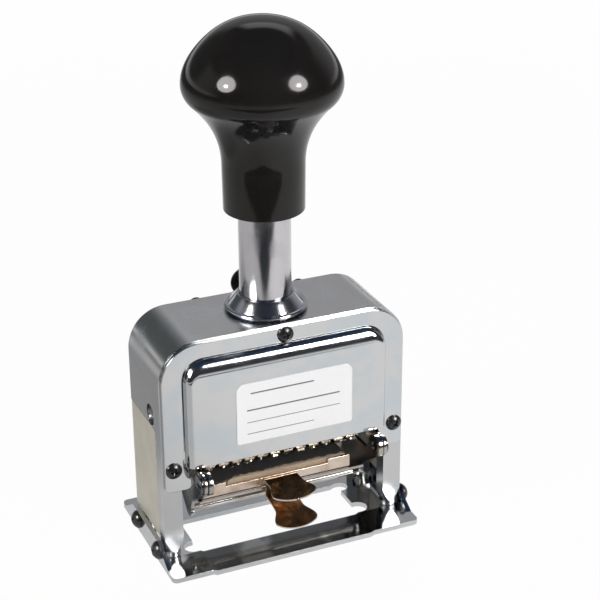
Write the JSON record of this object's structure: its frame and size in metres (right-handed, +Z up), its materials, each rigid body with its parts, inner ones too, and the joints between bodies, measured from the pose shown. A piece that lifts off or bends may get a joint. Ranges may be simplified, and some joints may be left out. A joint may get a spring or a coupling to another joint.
{
  "type": "automatic numbering machine",
  "caption": "Self-inking hand numbering machine: knob plunger through an arched chromed housing, number wheels, swinging ink pad with squeeze clip, and a windowed base plate.",
  "frame": {"origin": "middle of the base plate on the surface it stands on, under the plunger axis", "axes": "+X to the right of a user facing the label, -Y to the front, +Z up along the plunger"},
  "size_m": [0.0814, 0.0514, 0.1534],
  "materials": {
    "chrome_housing": "satin bright plating",
    "chrome_base": "bright plating",
    "chrome_tube": "polished plating",
    "black_screw": "black oxide, slightly glossy",
    "label_paper": "smooth white sticker",
    "ivory_plastic": "smooth ivory moulding",
    "black_plastic": "polished",
    "steel": "plain",
    "brass": "dull",
    "tray_metal": "pinkish copper tone",
    "felt": "felt soaked with black ink, tan below",
    "bronze": "heat-tinted spring sheet"
  },
  "bodies": {
    "frame": {"housing_frame": "chrome_housing", "base_plate": "chrome_base", "base_screws": "black_screw", "front_cover": "chrome_housing", "rear_cover": "chrome_housing", "front_cover_screws": "black_screw", "rear_cover_screws": "black_screw", "label": "label_paper", "left_side_cover": "ivory_plastic", "right_side_cover": "ivory_plastic", "collar": "chrome_tube", "side_screws": "steel", "left_pad_bracket": "chrome_base", "right_pad_bracket": "chrome_base", "pad_pivot_screws": "chrome_base", "spring_anchor": "steel", "return_spring": "steel"},
    "plunger": {"knob": "black_plastic", "plunger_tube": "chrome_tube", "tube_plug": "steel", "wheel_carriage": "steel", "wheel_axle": "steel", "detent_comb": "brass", "pawl_shaft": "steel"},
    "pawls": {"pawl_frame": "brass"},
    "repeat_selector": {"repeat_dial": "steel"},
    "wheel_01": {"number_wheel_01": "brass"},
    "wheel_02": {"number_wheel_02": "brass"},
    "wheel_03": {"number_wheel_03": "brass"},
    "wheel_04": {"number_wheel_04": "brass"},
    "wheel_05": {"number_wheel_05": "brass"},
    "wheel_06": {"number_wheel_06": "brass"},
    "wheel_07": {"number_wheel_07": "brass"},
    "wheel_08": {"number_wheel_08": "brass"},
    "wheel_09": {"number_wheel_09": "brass"},
    "wheel_10": {"number_wheel_10": "brass"},
    "wheel_11": {"number_wheel_11": "brass"},
    "wheel_12": {"number_wheel_12": "brass"},
    "pad_holder": {"pad_carriage": "chrome_base", "ink_tray": "tray_metal", "ink_pad": "felt", "clip_lower_lobe": "bronze"},
    "clip": {"clip_upper_lobe": "bronze"},
    "stud": {"retaining_stud": "black_plastic"}
  },
  "joints": [
    {"name": "plunger_slide", "type": "slide", "parent": "frame", "child": "plunger", "axis": [0, 0, -1], "range_m": [0, 0.0235], "stiffness_N_per_m": 320, "springref_m": -0.025, "deforming": ["return_spring"]},
    {"name": "pad_swing", "type": "hinge", "parent": "frame", "child": "pad_holder", "pos_m": [0, -0.019, 0.028], "axis": [-1, 0, 0], "range_deg": [0, 96]},
    {"name": "pawl_swing", "type": "hinge", "parent": "plunger", "child": "pawls", "pos_m": [0, 0.0094, 0.05], "axis": [1, 0, 0], "range_deg": [0, 8]},
    {"name": "repeat_turn", "type": "hinge", "parent": "plunger", "child": "repeat_selector", "pos_m": [-0.0262, 0.0045, 0.054], "axis": [-1, 0, 0], "range_deg": [0, 300]},
    {"name": "clip_squeeze", "type": "hinge", "parent": "pad_holder", "child": "clip", "pos_m": [-0.0019, -0.0136, 0.0216], "axis": [1, 0, 0], "range_deg": [0, 8], "stiffness_Nm_per_rad": 0.05},
    {"name": "stud_push", "type": "slide", "parent": "frame", "child": "stud", "axis": [0, -1, 0], "range_m": [0, 0.0017]},
    {"name": "wheel_turn_01", "type": "hinge", "parent": "plunger", "child": "wheel_01", "pos_m": [-0.022, -0.003, 0.0331], "axis": [1, 0, 0], "continuous": true},
    {"name": "wheel_turn_02", "type": "hinge", "parent": "plunger", "child": "wheel_02", "pos_m": [-0.018, -0.003, 0.0331], "axis": [1, 0, 0], "continuous": true},
    {"name": "wheel_turn_03", "type": "hinge", "parent": "plunger", "child": "wheel_03", "pos_m": [-0.014, -0.003, 0.0331], "axis": [1, 0, 0], "continuous": true},
    {"name": "wheel_turn_04", "type": "hinge", "parent": "plunger", "child": "wheel_04", "pos_m": [-0.01, -0.003, 0.0331], "axis": [1, 0, 0], "continuous": true},
    {"name": "wheel_turn_05", "type": "hinge", "parent": "plunger", "child": "wheel_05", "pos_m": [-0.006, -0.003, 0.0331], "axis": [1, 0, 0], "continuous": true},
    {"name": "wheel_turn_06", "type": "hinge", "parent": "plunger", "child": "wheel_06", "pos_m": [-0.002, -0.003, 0.0331], "axis": [1, 0, 0], "continuous": true},
    {"name": "wheel_turn_07", "type": "hinge", "parent": "plunger", "child": "wheel_07", "pos_m": [0.002, -0.003, 0.0331], "axis": [1, 0, 0], "continuous": true},
    {"name": "wheel_turn_08", "type": "hinge", "parent": "plunger", "child": "wheel_08", "pos_m": [0.006, -0.003, 0.0331], "axis": [1, 0, 0], "continuous": true},
    {"name": "wheel_turn_09", "type": "hinge", "parent": "plunger", "child": "wheel_09", "pos_m": [0.01, -0.003, 0.0331], "axis": [1, 0, 0], "continuous": true},
    {"name": "wheel_turn_10", "type": "hinge", "parent": "plunger", "child": "wheel_10", "pos_m": [0.014, -0.003, 0.0331], "axis": [1, 0, 0], "continuous": true},
    {"name": "wheel_turn_11", "type": "hinge", "parent": "plunger", "child": "wheel_11", "pos_m": [0.018, -0.003, 0.0331], "axis": [1, 0, 0], "continuous": true},
    {"name": "wheel_turn_12", "type": "hinge", "parent": "plunger", "child": "wheel_12", "pos_m": [0.022, -0.003, 0.0331], "axis": [1, 0, 0], "continuous": true}
  ],
  "couplings": [
    {"joint": "pad_swing", "follows": "plunger_slide", "rad_per_m": 71.299},
    {"joint": "pawl_swing", "follows": "plunger_slide", "rad_per_m": 5.9415}
  ]
}
